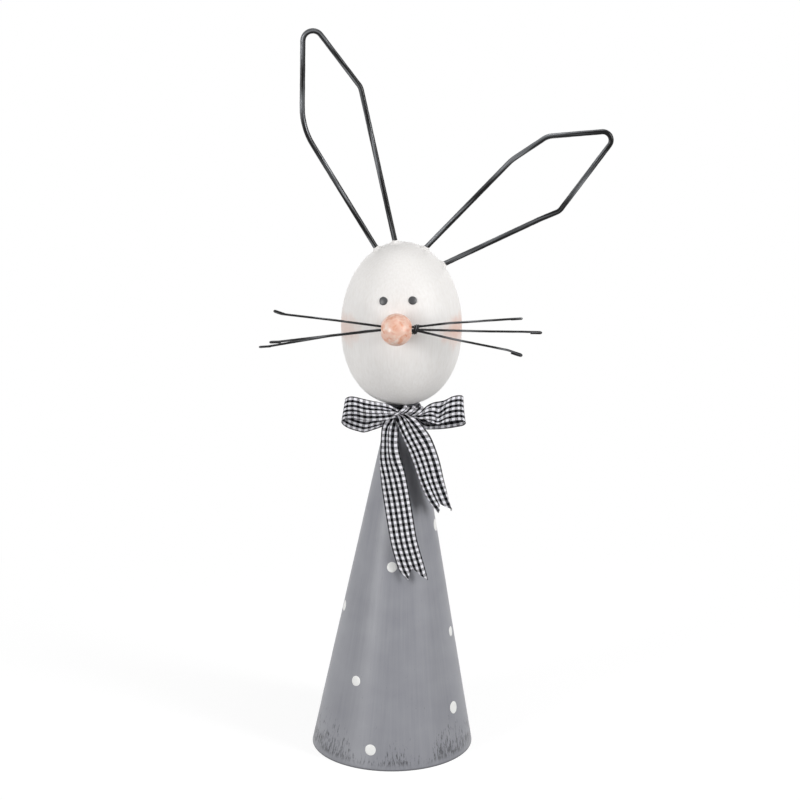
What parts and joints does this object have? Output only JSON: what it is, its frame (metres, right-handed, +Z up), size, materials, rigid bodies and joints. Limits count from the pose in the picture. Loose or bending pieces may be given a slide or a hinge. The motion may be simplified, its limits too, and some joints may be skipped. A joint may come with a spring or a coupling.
{
  "type": "metal rabbit figurine",
  "caption": "Standing rabbit ornament with a rolled-metal cone body, hollow egg-shaped head, bent-wire ears, wire whiskers, a bead nose and a checked ribbon bow.",
  "frame": {"origin": "the centre of the round foot, on the surface that the ornament stands on", "axes": "+Z up, -Y the front that the face looks to, +X to the right in the picture"},
  "size_m": [0.2076, 0.105, 0.4447],
  "materials": {
    "grey_paint": "satin grey paint over sheet steel, dry-brushed dark at the hem, with white dabs",
    "white_paint": "satin off-white paint with a faint upright brush grain and blushed cheeks",
    "black_paint": "black paint on steel wire, rubbed with silver",
    "bead": "polished, mottled pink and cream",
    "enamel": "dark grey enamel drop",
    "ribbon": "woven black and white gingham"
  },
  "bodies": {
    "root": {"cone_body": "grey_paint", "base_disc": "grey_paint", "neck_weld": "grey_paint", "head_upper_shell": "white_paint", "head_lower_shell": "white_paint", "ear_weld_left_outer": "white_paint", "ear_weld_left_inner": "white_paint", "ear_weld_right_inner": "white_paint", "ear_weld_right_outer": "white_paint", "ear_wire_left": "black_paint", "ear_wire_right": "black_paint", "whisker_wire_upper": "black_paint", "whisker_wire_middle": "black_paint", "whisker_wire_lower": "black_paint", "whisker_tie": "black_paint", "nose_bead": "bead", "eye_left": "enamel", "eye_right": "enamel", "ribbon_neck_band": "ribbon", "bow_knot": "ribbon", "bow_loop_left": "ribbon", "bow_loop_right": "ribbon", "ribbon_tail_long": "ribbon", "ribbon_tail_short": "ribbon"}
  },
  "joints": []
}
